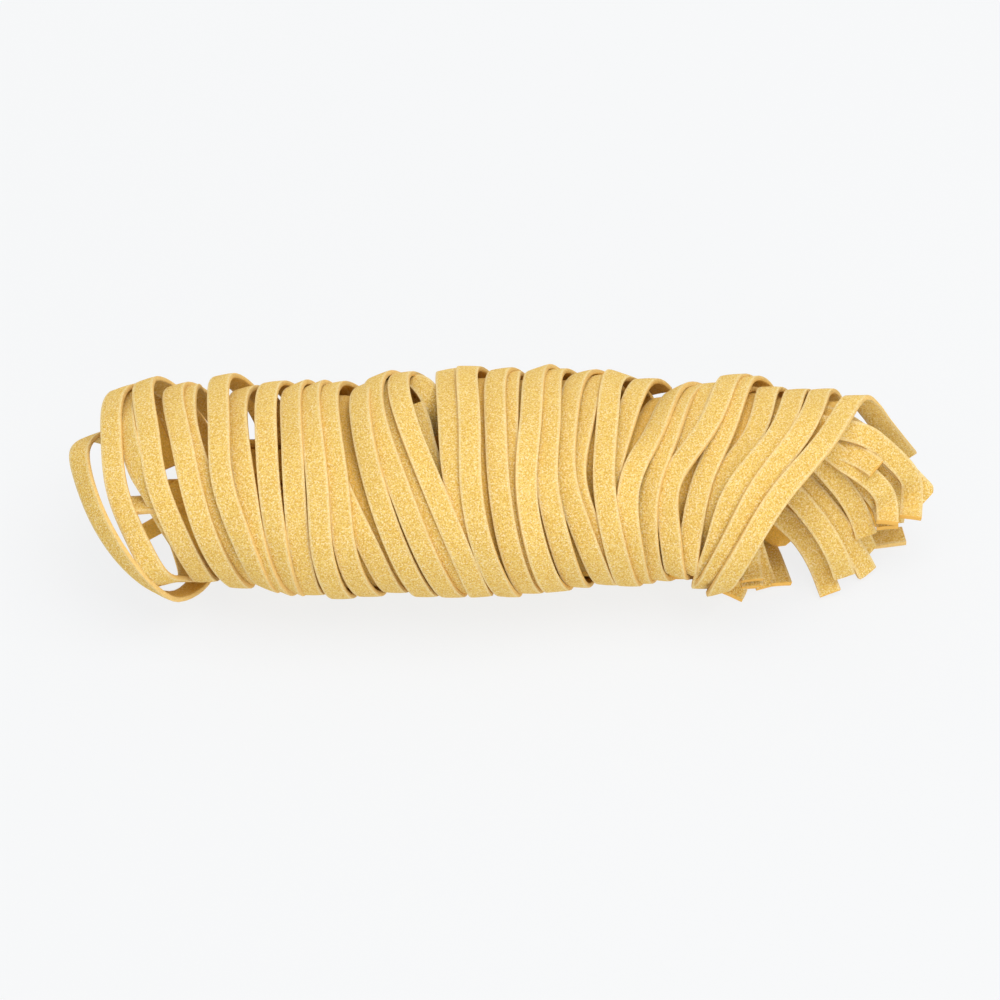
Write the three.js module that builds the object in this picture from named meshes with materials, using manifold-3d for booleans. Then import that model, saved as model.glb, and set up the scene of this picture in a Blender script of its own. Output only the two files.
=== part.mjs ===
// Dry pasta nest: a long hank of flat egg ribbons, wound in leaning oval loops.
// Millimetres, +Z up, the hank lies along X and rests on Z = 0.
import * as THREE from "three";
import Module from "manifold-3d";
import { mergeVertices } from "three/addons/utils/BufferGeometryUtils.js";

const wasm = await Module();
wasm.setup();

// ---- driving sizes -------------------------------------------------------
const STRIP_WIDTH = 6.0;
const STRIP_THICK = 1.45;
const HALF_HEIGHT = 26.0; // of the oval that the loops are wound to
const HALF_DEPTH = 32.0;
const SLOPE = 45; // degrees; rise and drop are taken square to this line
const FRONT_STEPS = 11, BACK_STEPS = 7; // sections over the front and round the back
const STEPS = FRONT_STEPS + BACK_STEPS;
const SINK = 0.3; // a strip bites this deep into the one it lies on
const SMOOTH_PASSES = 2;
const TIDY = 0.1; // the joined surface is tidied to this
const UNEVEN = 0.45; // passes lie up to this much lower than their neighbours
const PRESSED = 0.7; // and every other one this much deeper on the underside
const TUCK_STEPS = 3, TUCK_SHIFT = 11; // the first end runs on under the hank
const FILL_TUCK = 2; // steps that an inner strip runs on at its foot

// Stations of a pass, in degrees round the oval from its front.
const FIRST_STATION = -39;
const STATIONS = [-39, 21, 51, 81, 141];

// One row a pass over the front, from left to right: X at the five stations,
// then how far the pass rises and drops, and its tier (higher lies on top).
const PASSES = [
  [-82.2, -101.2, -108.4, -111.6, -109.7, 13.1, -30.2, 0],
  [-84.6, -97.7, -103.1, -104.9, -103.3, 26.4, -25.1, 2],
  [-79.8, -87.3, -92.4, -95.1, -96.4, 29.4, -25.4, 2],
  [-69.2, -78.8, -83.3, -86.5, -88.1, 27.8, -27.2, 2],
  [-64.3, -73.7, -79.0, -83.8, -85.2, 27.5, -27.2, 1],
  [-61.7, -69.7, -74.8, -76.1, -75.6, 30.7, -27.0, 2],
  [-57.4, -65.1, -67.8, -70.0, -68.6, 27.0, -27.8, 2],
  [-54.7, -59.3, -61.4, -62.5, -61.1, 28.8, -27.8, 2],
  [-50.2, -53.4, -54.7, -56.3, -56.1, 27.5, -29.1, 2],
  [-42.2, -47.5, -48.6, -50.7, -51.3, 27.5, -30.2, 2],
  [-35.0, -41.7, -43.3, -45.9, -45.7, 27.8, -29.6, 2],
  [-28.3, -36.0, -42.5, -46.5, -45.4, 27.8, -29.6, 1],
  [-20.0, -28.3, -33.1, -38.7, -38.7, 27.5, -29.6, 2],
  [-13.1, -21.9, -27.5, -32.6, -32.3, 30.7, -29.6, 2],
  [-9.9, -17.9, -24.0, -29.1, -29.1, 29.9, -29.6, 1],
  [-5.6, -12.5, -18.7, -24.6, -26.2, 30.7, -29.4, 2],
  [-2.9, -8.8, -12.8, -14.2, -13.9, 31.0, -29.1, 1],
  [1.9, -6.1, -8.5, -8.8, -8.8, 32.8, -29.1, 2],
  [7.7, 1.1, -1.1, -1.9, 0.0, 32.0, -28.6, 2],
  [10.4, 3.5, 1.3, 1.1, 2.1, 31.2, -28.6, 1],
  [14.2, 7.5, 5.9, 7.2, 10.1, 32.3, -27.5, 2],
  [21.1, 14.2, 11.5, 12.3, 14.7, 32.3, -27.0, 2],
  [28.0, 20.8, 16.6, 16.8, 22.7, 31.2, -26.2, 2],
  [29.6, 23.2, 19.2, 20.8, 26.2, 30.4, -26.2, 1],
  [34.4, 28.6, 26.7, 27.5, 31.2, 30.4, -26.2, 2],
  [35.5, 30.2, 28.3, 31.2, 39.2, 29.4, -25.6, 1],
  [37.4, 33.4, 33.1, 39.2, 48.6, 27.5, -25.6, 2],
  [43.3, 37.9, 39.0, 43.8, 53.1, 27.5, -25.1, 2],
  [45.1, 40.6, 42.2, 48.3, 56.9, 28.3, -24.0, 1],
  [49.4, 43.8, 44.9, 53.9, 62.7, 29.9, -24.0, 2],
  [51.0, 49.9, 53.4, 59.0, 66.5, 30.2, -22.7, 2],
  [51.8, 52.6, 56.9, 65.9, 72.6, 27.2, -24.8, 1],
  [53.4, 56.6, 61.4, 71.6, 79.3, 26.2, -27.0, 2],
  [54.2, 60.1, 67.8, 78.2, 86.0, 26.7, -28.0, 3],
  [55.8, 64.9, 74.2, 85.7, 94.8, 25.1, -29.1, 4],
];

// ---- the winding ---------------------------------------------------------
const rad = THREE.MathUtils.degToRad;

// Natural cubic through knots (t, v); returns a function of t.
function cubic(t, v) {
  const n = t.length, m = new Array(n).fill(0), c = [0], d = [0];
  for (let i = 1; i < n - 1; i++) {
    const h0 = t[i] - t[i - 1], h1 = t[i + 1] - t[i];
    const r = 6 * ((v[i + 1] - v[i]) / h1 - (v[i] - v[i - 1]) / h0);
    const w = 2 * (h0 + h1) - h0 * c[i - 1];
    c[i] = h1 / w;
    d[i] = (r - h0 * d[i - 1]) / w;
  }
  for (let i = n - 2; i > 0; i--) m[i] = d[i] - c[i] * m[i + 1];
  return (s) => {
    let i = 0;
    while (i < n - 2 && s > t[i + 1]) i++;
    const h = t[i + 1] - t[i], a = (t[i + 1] - s) / h, b = (s - t[i]) / h;
    return a * v[i] + b * v[i + 1] +
      (((a ** 3 - a) * m[i] + (b ** 3 - b) * m[i + 1]) * h * h) / 6;
  };
}

const stepAngle = (g) => {
  const k = Math.floor(g / STEPS), j = g - STEPS * k;
  const half = j < FRONT_STEPS ? j / FRONT_STEPS : 1 + (j - FRONT_STEPS) / BACK_STEPS;
  return FIRST_STATION + 360 * k + 180 * half;
};

// Distance from the axis to the oval's tangent at angle a.
const reach = (a) => HALF_HEIGHT * HALF_DEPTH /
  Math.hypot(HALF_HEIGHT * Math.cos(a), HALF_DEPTH * Math.sin(a));

// A pass has an oval of its own, resting on the floor, from its rise and drop.
function ownOval(p) {
  const sl = rad(SLOPE);
  const full = Math.hypot(HALF_HEIGHT * Math.cos(sl), HALF_DEPTH * Math.sin(sl));
  const size = (p[5] - p[6]) / 2 / full, high = HALF_HEIGHT * size, deep = HALF_DEPTH * size;
  const back = ((p[5] + p[6]) / 2 - (high - HALF_HEIGHT) * Math.cos(sl)) / Math.sin(sl);
  return { high, deep, back };
}

// Where a station of that oval lies on the common one, in degrees.
function onCommon(p, station) {
  const { high, deep, back } = ownOval(p), a = rad(station);
  const y = back - deep * Math.cos(a), z = high + high * Math.sin(a);
  return THREE.MathUtils.radToDeg(Math.atan2((z - HALF_HEIGHT) / HALF_HEIGHT, -y / HALF_DEPTH));
}

// Height of that oval over the common one at angle a.
function passHeight(p, a) {
  const { high, deep, back } = ownOval(p), dz = HALF_HEIGHT - high;
  const uy = -HALF_DEPTH * Math.cos(a), uz = HALF_HEIGHT * Math.sin(a);
  const A = (uy / deep) ** 2 + (uz / high) ** 2;
  const B = 2 * ((-uy * back) / deep ** 2 + (uz * dz) / high ** 2);
  const C = (back / deep) ** 2 + (dz / high) ** 2 - 1;
  return ((-B + Math.sqrt(B * B - 4 * A * C)) / (2 * A) - 1) * reach(a);
}

// A strand wound through rows of stations: sections with angle, X, height over
// the oval and tilt, from step `first` to step `last`. Knots before and after are
// the X of its two ends.
function strand(rows, first, last, before, after) {
  const t = [Math.min(stepAngle(first), onCommon(rows[0], STATIONS[0]) - 20)], x = [before];
  rows.forEach((p, k) => STATIONS.forEach((s, i) => {
    t.push(360 * k + onCommon(p, s));
    x.push(p[i]);
  }));
  if (after !== undefined) {
    t.push(Math.max(stepAngle(last), t[t.length - 1] + 20));
    x.push(after);
  }
  const alongX = cubic(t, x), list = [];
  for (let g = first; g <= last; g++) {
    const k = Math.min(Math.max(Math.floor(g / STEPS), 0), rows.length - 1);
    const row = rows[k], deg = stepAngle(g), a = rad(deg);
    const onto = rows[Math.min(k + 1, rows.length - 1)];
    const f = g < 0 ? 0 : THREE.MathUtils.smoothstep((deg - FIRST_STATION) / 180 - 2 * k, 1.2, 2);
    const inner = row[7] === 1 ? STRIP_THICK : UNEVEN * (0.5 + 0.5 * Math.sin(2.4 * k));
    const want = passHeight(row, a) * (1 - f) + passHeight(onto, a) * f - STRIP_THICK / 2 - inner;
    list.push({ a, k, slot: ((g % STEPS) + STEPS) % STEPS, tier: row[7], x: alongX(deg), want, h: want, tilt: 0 });
  }
  const ovalStep = (a) => Math.hypot(HALF_DEPTH * Math.sin(a), HALF_HEIGHT * Math.cos(a));
  list.forEach((s, i) => {
    const p = list[Math.max(i - 1, 0)], q = list[Math.min(i + 1, list.length - 1)];
    const slope = (q.x - p.x) / (ovalStep(s.a) * (q.a - p.a));
    s.half = Math.min((STRIP_WIDTH / 2) * Math.hypot(1, slope), 1.5 * STRIP_WIDTH);
  });
  return list;
}

// Strips settle on the ones laid before them, like planks, then are smoothed.
const CELL = 0.5, TILTS = [0, -0.08, 0.08, -0.16, 0.16, -0.24, 0.24];
function settle(strands) {
  for (let slot = 0; slot < STEPS; slot++) {
    const row = strands.flat().filter((s) => s.slot === slot);
    row.sort((p, q) => p.tier - q.tier || q.x - p.x);
    const top = new Map();
    for (const s of row) {
      const lo = Math.ceil((s.x - s.half) / CELL), hi = Math.floor((s.x + s.half) / CELL);
      let best = { cost: Infinity };
      for (const t of TILTS) {
        let c = s.want;
        for (let u = lo; u <= hi; u++)
          if (top.has(u)) c = Math.max(c, top.get(u) - t * (u * CELL - s.x));
        const cost = c + 1.2 * Math.abs(t);
        if (cost < best.cost) best = { cost, c, t };
      }
      s.h = best.c;
      s.tilt = best.t;
      for (let u = lo; u <= hi; u++)
        top.set(u, Math.max(top.has(u) ? top.get(u) : -99,
          best.c + best.t * (u * CELL - s.x) + STRIP_THICK - SINK));
    }
  }
  const blur = (v) => v.map((_, i) =>
    (v[Math.max(i - 1, 0)] + 2 * v[i] + v[Math.min(i + 1, v.length - 1)]) / 4);
  for (const list of strands) {
    let hs = list.map((s) => s.h), ts = list.map((s) => s.tilt);
    for (let r = 0; r < SMOOTH_PASSES; r++) [hs, ts] = [blur(hs), blur(ts)];
    // Where the hank lies on the floor its strips are pressed together.
    list.forEach((s, i) => {
      const press = THREE.MathUtils.smoothstep(-Math.sin(s.a), 0.5, 0.85);
      s.h = hs[i] + press * (Math.min(s.want, 0) - PRESSED * (s.k % 2) - hs[i]);
      s.tilt = ts[i] * (1 - press);
    });
  }
}

const wound = PASSES.filter((p) => p[7] !== 1);
const strands = [strand(wound, -TUCK_STEPS, (wound.length - 1) * STEPS + FRONT_STEPS,
  wound[0][0] + TUCK_SHIFT)];
for (const p of PASSES.filter((q) => q[7] === 1))
  strands.push(strand([p], -FILL_TUCK, FRONT_STEPS + 1,
    p[0] + 0.4 * (p[0] - p[1]), p[4] + 0.3 * (p[4] - p[3]) + 1.5));
settle(strands);

function onOval(s) {
  const m = 1 + s.h / reach(s.a);
  return new THREE.Vector3(s.x, -HALF_DEPTH * m * Math.cos(s.a),
    HALF_HEIGHT + HALF_HEIGHT * m * Math.sin(s.a));
}

// ---- solids --------------------------------------------------------------
function toManifold(geometry) {
  const g = geometry.clone();
  g.deleteAttribute("normal");
  g.deleteAttribute("uv");
  const merged = mergeVertices(g, 1e-4);
  return new wasm.Manifold(new wasm.Mesh({
    numProp: 3,
    vertProperties: merged.attributes.position.array,
    triVerts: new Uint32Array(merged.index.array),
  }));
}

// A flat ribbon through frames of {p, across, up}.
function ribbon(frames, width = STRIP_WIDTH, thick = STRIP_THICK) {
  const pos = [], idx = [], n = frames.length;
  for (const f of frames)
    for (const [u, v] of [[-1, -1], [1, -1], [1, 1], [-1, 1]])
      pos.push(...f.p.clone().addScaledVector(f.across, (u * width) / 2)
        .addScaledVector(f.up, (v * thick) / 2).toArray());
  for (let i = 0; i < n - 1; i++)
    for (let c = 0; c < 4; c++) {
      const a = 4 * i + c, b = 4 * i + ((c + 1) % 4);
      idx.push(a, b, b + 4, a, b + 4, a + 4);
    }
  const e = 4 * (n - 1);
  idx.push(0, 2, 1, 0, 3, 2, e, e + 1, e + 2, e, e + 2, e + 3);
  const g = new THREE.BufferGeometry();
  g.setAttribute("position", new THREE.Float32BufferAttribute(pos, 3));
  g.setIndex(idx);
  const m = toManifold(g);
  if (m.volume() >= 0) return m;
  for (let i = 0; i < idx.length; i += 3) [idx[i + 1], idx[i + 2]] = [idx[i + 2], idx[i + 1]];
  g.setIndex(idx);
  return toManifold(g);
}

const solids = [];
for (const list of strands) {
  const points = list.map(onOval);
  const frames = list.map((s, i) => {
    const t = points[Math.min(i + 1, points.length - 1)].clone()
      .sub(points[Math.max(i - 1, 0)]).normalize();
    const up = new THREE.Vector3(-s.tilt, 0, 0).add(new THREE.Vector3(0,
      -Math.cos(s.a) / HALF_DEPTH, Math.sin(s.a) / HALF_HEIGHT).normalize());
    up.addScaledVector(t, -up.dot(t)).normalize();
    return { p: points[i], across: new THREE.Vector3().crossVectors(t, up), up };
  });
  // One solid a turn, as a ribbon must not cross itself before the union.
  for (let i = 0; i < frames.length - 1; i += STEPS)
    solids.push(ribbon(frames.slice(i, Math.min(i + STEPS + 1, frames.length))));
}

// The core: an oval roll of inner strips, low in the hank and clear of its open
// left end. Both ends lean as the loops round them do.
const CORE = { left: -64, right: 50, high: 18.5, deep: 25, sides: 20 };
const CORE_LEAN_LEFT = -0.25, CORE_LEAN_RIGHT = 0.62;
const core = new THREE.CylinderGeometry(1, 1, 1, CORE.sides, 1);
core.rotateZ(Math.PI / 2);
const cp = core.attributes.position;
for (let i = 0; i < cp.count; i++) {
  const z = CORE.high * (1 + cp.getZ(i)) + STRIP_THICK - 2 * SINK, right = cp.getX(i) > 0;
  cp.setXYZ(i, (right ? CORE.right : CORE.left) + z * (right ? CORE_LEAN_RIGHT : CORE_LEAN_LEFT),
    CORE.deep * cp.getY(i), z);
}
solids.push(toManifold(core));

// Cut ends that leave the right end: centre line, then which way the flat looks
// where the strip leaves the core and at the cut.
const UP = [0, 0, 1];
const TAILS = [
  [[[93.5, 21, 39.8], [99, 25, 31.5], [104.5, 25, 21], [109, 22, 14]], [0, 0.6, 0.8], [0.2, 0.9, 0.1]],
  [[[66, 6, 30], [91, 14, 34], [101, 14, 26], [107.3, 12, 17], [109.2, 11, 2.4]], UP, [0.5, -0.8, 0.3]],
  [[[66, 8, 26], [88, 16, 29], [104.5, 22, 18.5], [114.6, 20.5, 6]], UP, [0.5, -0.2, 0.8]],
  [[[66, 2, 31], [82, 8, 33.5], [90, 11, 31], [99.6, 10, 22]], UP, [0.6, -0.2, 0.8]],
  [[[64, 2, 28], [85, 6, 31], [94.8, 5, 23.5], [100.7, 4.5, 14.7], [102.5, 4, 6.9]], UP, [0.9, -0.4, 0.2]],
  [[[64, 1, 24], [84, 6, 27], [94, 4.5, 20], [101, 3.5, 11.5], [103.2, 3, 4.2]], UP, [0.9, -0.4, 0.2]],
  [[[58, 5, 14], [80, 4, 7], [95, 3, 2.4], [108, 3, 0.9]], UP, UP],
  [[[60, 2, 20], [80, 3, 24], [90, 2.5, 15], [97.6, 1.5, 5]], UP, [0.8, -0.4, 0.4]],
  [[[58, 0, 18], [80, 0, 20], [92, -1.5, 10], [97.4, -2.5, 1.5]], UP, [0.8, -0.4, 0.4]],
  [[[58, -1, 22], [78, -1, 22], [88, -4, 14], [95, -7.5, 5], [97.5, -9, 1]], UP, [0.8, -0.5, 0.4]],
  [[[60, 2, 24], [78.5, 1.3, 22.5], [87.3, -4, 12.5], [91.6, -10.4, 1.6]], UP, [0.6, -0.7, 0.4]],
  [[[58, -2, 22], [74.2, -3.4, 20], [79.8, -8, 14], [86, -11.3, 6], [87.8, -15, 0.9]], UP, [0.5, -0.8, 0.4]],
  [[[50, -4, 16], [64, -6, 13], [71, -9.5, 8], [74.7, -12.5, 2.5]], UP, [0.5, -0.6, 0.6]],
  [[[46, -6, 12], [60, -10, 8], [67, -14, 1.2]], UP, [0.3, -0.5, 0.8]],
  [[[46, -8, 10], [56, -12, 6], [62, -16.5, 0.9]], UP, [0.3, -0.5, 0.8]],
];
const TAIL_STEPS = 7;
for (const [line, from, to] of TAILS) {
  const curve = new THREE.CatmullRomCurve3(line.map((p) => new THREE.Vector3(...p)), false, "centripetal");
  const list = [];
  for (let i = 0; i <= TAIL_STEPS; i++) {
    const t = curve.getTangentAt(i / TAIL_STEPS);
    const up = new THREE.Vector3(...from).lerp(new THREE.Vector3(...to), i / TAIL_STEPS);
    up.addScaledVector(t, -up.dot(t)).normalize();
    list.push({ p: curve.getPointAt(i / TAIL_STEPS), across: new THREE.Vector3().crossVectors(t, up), up });
  }
  solids.push(ribbon(list));
}

// One body, without loose scraps or spaces that the joining has sealed.
const biggest = (m) => m.decompose().reduce((a, b) => (b.volume() > a.volume() ? b : a));
const joined = wasm.Manifold.union(solids).trimByPlane([0, 0, 1], 0);
const whole = biggest(biggest(joined).simplify(TIDY));
const out = whole.getMesh();
const geometry = new THREE.BufferGeometry();
geometry.setAttribute("position", new THREE.Float32BufferAttribute(out.vertProperties, 3));
geometry.setIndex(new THREE.Uint32BufferAttribute(out.triVerts, 1));
geometry.computeVertexNormals();
const nest = new THREE.Mesh(geometry, new THREE.MeshStandardMaterial({
  color: 0xf3d48e, roughness: 0.75, metalness: 0, flatShading: true }));
nest.name = "pasta_nest";
// The origin is under the middle of the hank.
const { min, max } = whole.boundingBox();
nest.position.set(-(min[0] + max[0]) / 2, -(min[1] + max[1]) / 2, 0);
const root = new THREE.Group();
root.add(nest);
export default root;
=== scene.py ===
import math

import bpy
import numpy as np
from bpy.props import FloatProperty, FloatVectorProperty, PointerProperty
from bpy.types import Operator, Panel, PropertyGroup
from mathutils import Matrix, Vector


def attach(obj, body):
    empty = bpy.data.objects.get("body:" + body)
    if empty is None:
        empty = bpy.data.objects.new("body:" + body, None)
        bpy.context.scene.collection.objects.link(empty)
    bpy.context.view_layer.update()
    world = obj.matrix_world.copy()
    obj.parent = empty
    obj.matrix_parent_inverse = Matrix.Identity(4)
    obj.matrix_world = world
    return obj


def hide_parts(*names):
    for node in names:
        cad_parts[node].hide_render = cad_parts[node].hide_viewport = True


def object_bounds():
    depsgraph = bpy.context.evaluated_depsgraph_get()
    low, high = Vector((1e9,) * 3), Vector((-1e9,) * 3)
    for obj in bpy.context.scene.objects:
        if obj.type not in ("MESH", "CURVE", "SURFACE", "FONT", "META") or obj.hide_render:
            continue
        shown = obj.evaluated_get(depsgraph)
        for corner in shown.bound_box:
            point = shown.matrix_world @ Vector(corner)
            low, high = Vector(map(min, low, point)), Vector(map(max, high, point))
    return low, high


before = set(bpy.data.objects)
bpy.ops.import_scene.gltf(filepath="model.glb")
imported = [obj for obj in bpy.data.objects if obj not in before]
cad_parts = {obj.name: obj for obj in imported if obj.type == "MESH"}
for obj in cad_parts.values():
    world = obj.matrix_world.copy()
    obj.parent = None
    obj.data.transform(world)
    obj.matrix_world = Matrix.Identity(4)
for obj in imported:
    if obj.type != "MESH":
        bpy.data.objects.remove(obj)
CAD_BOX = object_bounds()

bl_info = {
    "name": "Dry pasta nest",
    "version": (1, 0, 0),
    "blender": (4, 5, 0),
    "location": "3D View > Sidebar > Pasta nest",
    "description": "A long hank of dry flat egg ribbons, wound in leaning oval loops",
    "category": "Object",
}

MM = 0.001
NODE = "pasta_nest"

# ---- sizes of the winding, in millimetres --------------------------------
HALF_HEIGHT = 26.0  # of the oval that the loops are wound to
HALF_DEPTH = 32.0
SLOPE = math.radians(45)  # rise and drop are taken square to this line
MIDDLE = (0.0, 1.48)  # of the whole hank, from the oval's axis
FRONT_STEPS, BACK_STEPS = 48, 32  # sections over the front and round the back
STEPS = FRONT_STEPS + BACK_STEPS

# How the passes lie on each other.
SINK = 0.05  # a strip presses this deep into the one it lies on
UNEVEN, UNEVEN_WAVE = 0.45, 2.4  # passes lie up to this much lower, in a wave from pass to pass
PRESSED = 0.7  # and every other one this much deeper on the underside
INNER = 1  # tier of the short inner strips
UNDER, UNDER_DEPTH = 0.5, 3.0  # tier of the second layer, which lies this much lower
CLOSED = ((-57, -27), (-13, 26), (29, 80))  # where it closes the gaps between the loops
COME_UP = (95, 135)  # degrees over which an inner strip comes up from under the others
CHANGE_OVER = (1.2, 2)  # half turns over which a pass takes on the height of the next

# Behind the crest a pass runs on to the right.
PAST_CREST = 183.0  # degrees round its own oval
CREST_RUN, CREST_LEAN = 4.5, 0.5  # it runs this far, and further where it leans there
BACK_SHARE = 0.16  # of its way to the next pass lies before this place

# The set of the loops.
RING_LEAN = 0.8  # how far a loop keeps the set of a flat ring, square to its own lean
LEAN_LIMITS = (0.06, 0.4)
LEAN_COMES = (-0.6, 0.2)  # sines of the angle between which the lean comes in
WANDER, WANDER_STEPS = 0.55, 12  # a hand-cut ribbon strays this far, this slowly
ROCK, ROCK_STEPS = 0.16, 10  # and rocks
EVEN_STEPS = 2  # heights are softened over this many steps
WIDEST = 1.5  # widths that a slanting strip covers at most

# The ends of the strands.
END_GAP = 20  # degrees at least between an end and the station beside it
FIRST_TUCK, FIRST_SHIFT = 14, 13.0  # the first end runs on under the hank: steps and way
FIRST_TURN, TURN_FADES = 0.6, (40, 110)  # the first loop is turned left, less between these degrees
SHORT_TUCK, SHORT_TAIL = 9, 5  # steps that a short strip runs on under the hank and behind it
TUCK_LEAN, TAIL_LEAN, TAIL_RUN = 0.4, 0.3, 1.5  # the lean that it keeps there, and its way
LEAVES_AT = 97  # degrees at which the last loop leaves the oval
GUIDE_STEPS, GUIDE_EVERY = 18, 6  # steps before that place which guide the way on
LEAD_POINTS, LEAD_TURNS = 64, 0.6  # sections of the way on, and its share that turns
FREE_POINTS = 48  # sections of a free strip
SEEDS = {"long": 1, "inner": 10, "under": 40, "roll": 7}  # short strips count on from theirs

# Stations of a pass, in degrees round the oval from its front.
STATIONS = (-39.0, 21.0, 51.0, 81.0, 141.0)
RISE, DROP, TIER = 5, 6, 7  # where these stand in a row, behind the stations

# One row a pass over the front, from left to right: X at the five stations,
# then how far the pass rises and drops, and its tier (higher lies on top).
PASSES = (
    (-87.0, -100.4, -106.8, -111.0, -109.3, 14.2, -30.2, 0),
    (-84.5, -97.2, -102.0, -103.5, -101.2, 27.1, -25.1, 2),
    (-78.6, -86.2, -91.3, -93.7, -94.7, 29.4, -25.4, 2),
    (-69.6, -77.9, -82.0, -85.1, -86.8, 27.8, -27.2, 2),
    (-64.0, -73.0, -78.0, -82.5, -83.9, 27.5, -27.2, 1),
    (-61.4, -69.0, -73.8, -75.0, -74.4, 30.7, -27.0, 2),
    (-57.4, -65.1, -67.8, -70.0, -68.6, 27.0, -27.8, 2),
    (-54.7, -59.3, -61.4, -62.5, -61.1, 28.8, -27.8, 2),
    (-50.2, -53.4, -54.6, -55.6, -55.0, 27.5, -29.1, 2),
    (-42.2, -47.5, -48.4, -49.9, -49.9, 27.5, -30.2, 2),
    (-35.0, -41.6, -43.0, -45.0, -44.5, 27.8, -29.6, 2),
    (-28.3, -36.0, -42.5, -46.5, -45.4, 27.8, -29.6, 1),
    (-20.0, -28.3, -33.2, -36.9, -35.6, 27.5, -29.6, 2),
    (-13.1, -21.9, -27.5, -32.6, -32.3, 30.7, -29.6, 2),
    (-9.9, -17.9, -24.0, -29.1, -29.1, 29.9, -29.6, 1),
    (-5.6, -12.5, -18.7, -24.6, -26.2, 30.7, -29.4, 2),
    (-2.9, -8.8, -12.8, -14.2, -14.9, 32.0, -29.1, 1),
    (1.9, -6.1, -8.5, -8.8, -8.8, 32.8, -29.1, 2),
    (7.7, 1.1, -1.1, -1.9, 0.0, 32.0, -28.6, 2),
    (10.4, 3.5, 1.3, 1.1, 2.1, 31.2, -28.6, 1),
    (15.1, 7.7, 5.9, 7.2, 10.1, 32.3, -27.5, 2),
    (20.4, 14.0, 11.5, 12.3, 14.7, 32.3, -27.0, 2),
    (28.0, 20.8, 16.6, 16.8, 22.7, 31.2, -26.2, 2),
    (29.6, 23.2, 19.2, 20.8, 26.2, 30.4, -26.2, 1),
    (34.4, 28.6, 26.7, 27.5, 31.2, 30.4, -26.2, 2),
    (35.5, 30.2, 28.3, 31.2, 39.2, 29.4, -25.6, 1),
    (37.4, 33.4, 33.1, 39.2, 48.6, 26.6, -25.6, 2),
    (43.3, 37.9, 39.0, 43.8, 53.1, 26.4, -25.1, 2),
    (45.1, 40.6, 42.2, 48.3, 56.9, 28.3, -24.0, 1),
    (49.4, 43.8, 44.9, 53.9, 62.7, 29.9, -24.0, 2),
    (51.0, 49.9, 53.4, 59.0, 66.5, 30.2, -22.7, 2),
    (51.8, 52.6, 56.9, 65.9, 72.6, 27.2, -24.8, 1),
    (53.4, 56.6, 61.4, 71.6, 79.3, 26.2, -27.0, 2),
    (53.8, 60.1, 67.8, 78.2, 86.0, 26.7, -26.0, 3),
    (57.0, 64.4, 73.2, 84.3, 93.4, 25.1, -28.3, 4),
)

# Free strips: centre line, then which way the face looks at its start and its end.
UP = (0, 0, 1)
VIEW = (0, -0.6, 0.8)
# The last loop's way on, and which way its face looks at its end.
LEAD_OUT = (
    ((94.2, 15.2, 44.4), (98.2, 17, 38.4), (101.7, 18, 31.4), (105.6, 20, 23.4), (109.7, 22.3, 15)),
    (0.1, 0.75, -0.65),
)
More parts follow.
